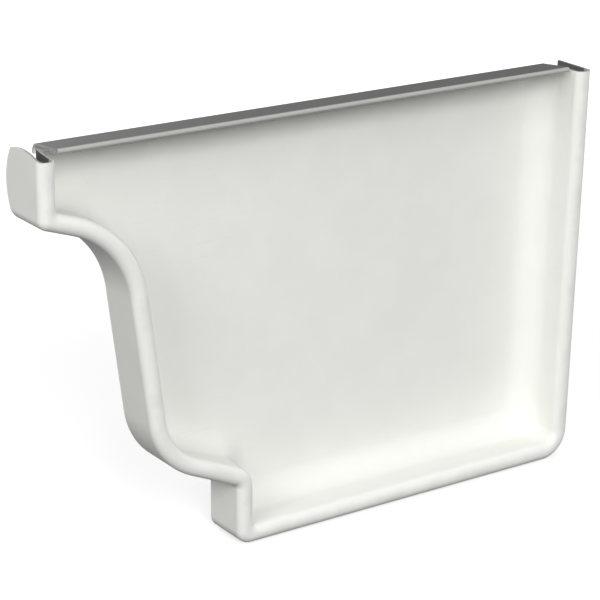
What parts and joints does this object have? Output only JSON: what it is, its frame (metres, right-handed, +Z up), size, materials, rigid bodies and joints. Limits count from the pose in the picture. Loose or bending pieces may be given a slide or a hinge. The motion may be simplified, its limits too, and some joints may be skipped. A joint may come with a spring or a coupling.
{
  "type": "gutter end cap",
  "caption": "Pressed sheet end cap for an ogee gutter: recessed plate, folded rim with a groove for the edge of the gutter, and a hemmed shelf along the top.",
  "frame": {"origin": "where the outer face of the back wall at its top, the underside and the front of the rim would meet: x is 0 at the back wall's top, y is 0 at the front of the rim, z is 0 at the underside", "axes": "+Z up as installed, +X from the lip towards the fascia, +Y into the gutter; the open recess faces -Y"},
  "size_m": [0.13, 0.013, 0.0879],
  "materials": {
    "enamel": "satin"
  },
  "bodies": {
    "root": {"end_cap": "enamel"}
  },
  "joints": []
}
